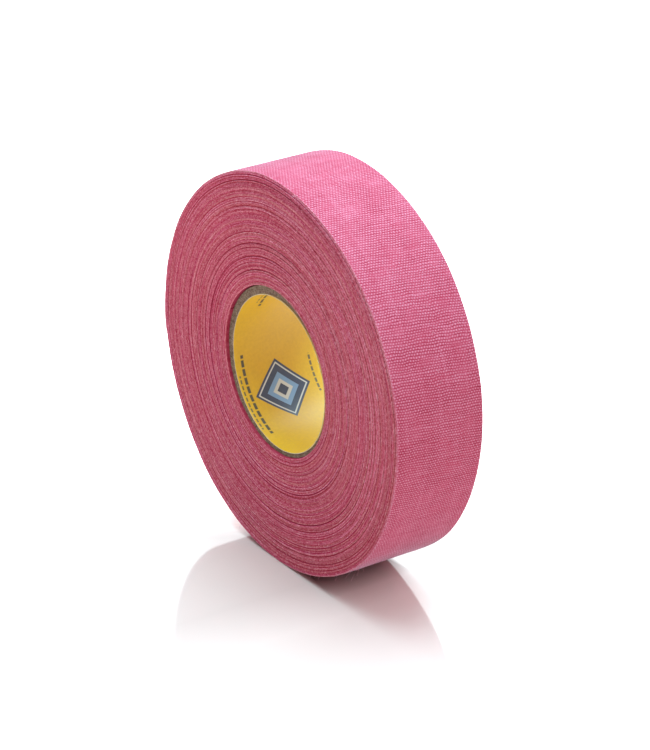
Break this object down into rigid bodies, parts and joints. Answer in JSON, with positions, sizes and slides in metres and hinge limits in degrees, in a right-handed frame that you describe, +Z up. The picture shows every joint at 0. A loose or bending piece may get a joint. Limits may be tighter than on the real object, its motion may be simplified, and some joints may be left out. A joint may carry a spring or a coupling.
{
  "type": "grip tape roll",
  "caption": "Full roll of woven cloth grip tape on a paper-board core with a printed paper liner, its adhesive-backed tail able to be peeled.",
  "frame": {"origin": "on the floor, below the middle of the roll, which stands on its rim", "axes": "+Y along the roll's axis towards its back face; -Y is the front face; +Z is up; +X is the rim's side away from the loose tail"},
  "size_m": [0.1001, 0.0244, 0.1],
  "materials": {
    "liner_paper": "smooth yellow printed paper",
    "core_board": "grey-brown kraft board, cut end",
    "tape_edges": "cut edges of the wound cloth, muted rose",
    "tape_cloth": "plain-woven cotton, pink",
    "adhesive": "tacky coat"
  },
  "bodies": {
    "roll": {"core_liner": "liner_paper", "core_inner_ply": "core_board", "core_second_ply": "core_board", "core_third_ply": "core_board", "core_outer_ply": "core_board", "first_windings": "tape_edges", "inner_windings": "tape_edges", "middle_windings": "tape_edges", "outer_windings": "tape_edges", "last_windings": "tape_edges", "outer_turn_adhesive": "adhesive", "outer_turn_cloth": "tape_cloth"},
    "tail": {"tail_adhesive": "adhesive", "tail_cloth": "tape_cloth"}
  },
  "joints": [
    {"name": "tail_peel", "type": "hinge", "parent": "roll", "child": "tail", "pos_m": [-0.04447, 0, 0.07306], "axis": [0, 1, 0], "range_deg": [0, 150]}
  ]
}
